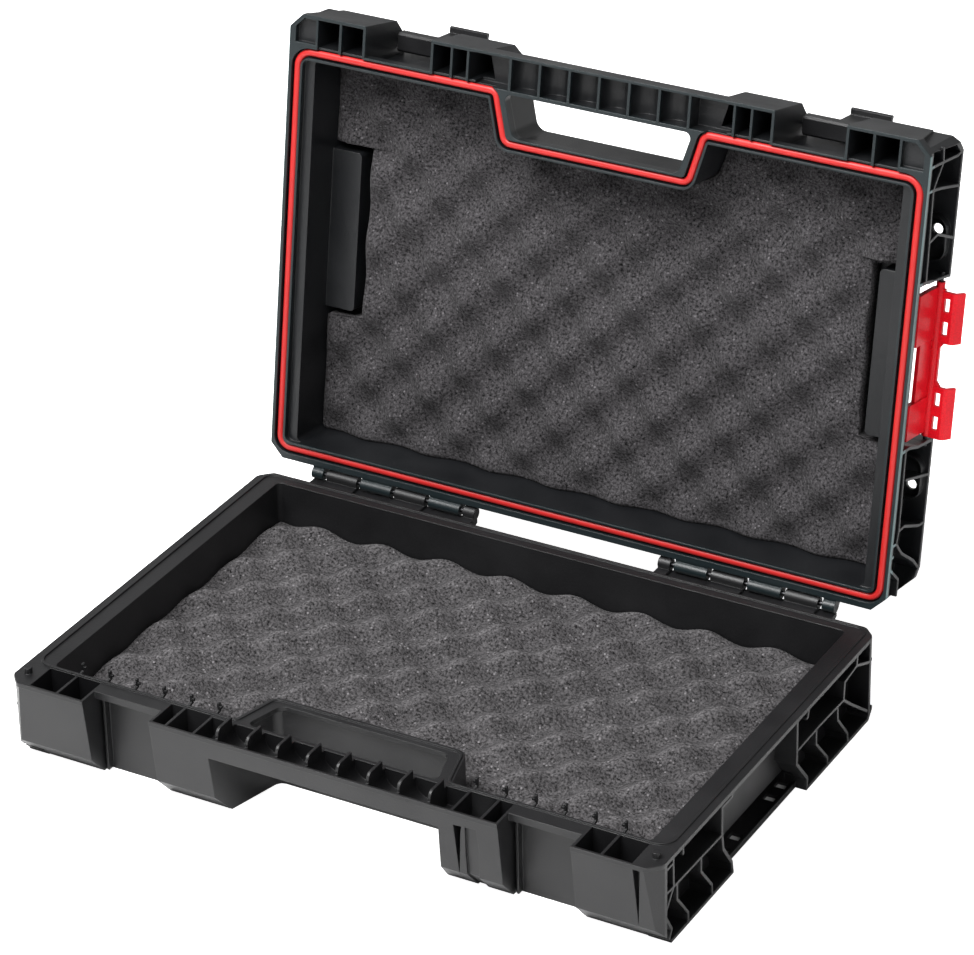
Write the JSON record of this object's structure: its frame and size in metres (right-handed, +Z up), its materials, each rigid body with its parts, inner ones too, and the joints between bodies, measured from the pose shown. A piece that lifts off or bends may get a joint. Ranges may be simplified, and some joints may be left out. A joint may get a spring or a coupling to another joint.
{
  "type": "hard tool case",
  "caption": "Foam lined hard tool case with a hinged lid standing open, a two-part front handle, flip latches, a sealing cord and folding side clips.",
  "frame": {"origin": "centre of the base underside, on the floor", "axes": "+X to the right along the hinge, +Y from the handle to the hinge, +Z up"},
  "size_m": [0.4748, 0.4507, 0.3685],
  "materials": {
    "base_shell": "fine grained moulded plastic",
    "lid_shell": "fine grained moulded plastic",
    "lid_gasket": "smooth soft rubber",
    "base_foam": "open cell egg-crate foam",
    "lid_foam": "open cell egg-crate foam",
    "hinge_pin_left": "blackened drawn steel",
    "hinge_pin_right": "blackened drawn steel",
    "front_latch_left": "moulded plastic",
    "front_latch_right": "moulded plastic",
    "front_latch_pin_left": "blackened drawn steel",
    "front_latch_pin_right": "blackened drawn steel",
    "side_clip_left": "moulded plastic",
    "side_clip_right": "moulded plastic",
    "side_clip_pin_left": "blackened drawn steel",
    "side_clip_pin_right": "blackened drawn steel"
  },
  "bodies": {
    "base": {"base_shell": "base_shell", "base_foam": "base_foam", "hinge_pin_left": "hinge_pin_left", "hinge_pin_right": "hinge_pin_right"},
    "lid": {"lid_shell": "lid_shell", "lid_gasket": "lid_gasket", "lid_foam": "lid_foam", "front_latch_pin_left": "front_latch_pin_left", "front_latch_pin_right": "front_latch_pin_right", "side_clip_pin_left": "side_clip_pin_left", "side_clip_pin_right": "side_clip_pin_right"},
    "front_latch_left": {"front_latch_left": "front_latch_left"},
    "front_latch_right": {"front_latch_right": "front_latch_right"},
    "side_clip_left": {"side_clip_left": "side_clip_left"},
    "side_clip_right": {"side_clip_right": "side_clip_right"}
  },
  "joints": [
    {"name": "lid_hinge", "type": "hinge", "parent": "base", "child": "lid", "pos_m": [0, 0.16, 0.0623], "axis": [1, 0, 0], "range_deg": [0, 99.4]},
    {"name": "front_latch_left_hinge", "type": "hinge", "parent": "lid", "child": "front_latch_left", "pos_m": [-0.1447, 0.24903, 0.34475], "axis": [1, 0, 0], "range_deg": [0, 180]},
    {"name": "front_latch_right_hinge", "type": "hinge", "parent": "lid", "child": "front_latch_right", "pos_m": [0.1447, 0.24903, 0.34475], "axis": [1, 0, 0], "range_deg": [0, 180]},
    {"name": "side_clip_left_hinge", "type": "hinge", "parent": "lid", "child": "side_clip_left", "pos_m": [-0.222, 0.22826, 0.21318], "axis": [0, -0.1633, -0.9866], "range_deg": [-12, 90]},
    {"name": "side_clip_right_hinge", "type": "hinge", "parent": "lid", "child": "side_clip_right", "pos_m": [0.222, 0.22826, 0.21318], "axis": [0, 0.1633, 0.9866], "range_deg": [-12, 90]}
  ]
}
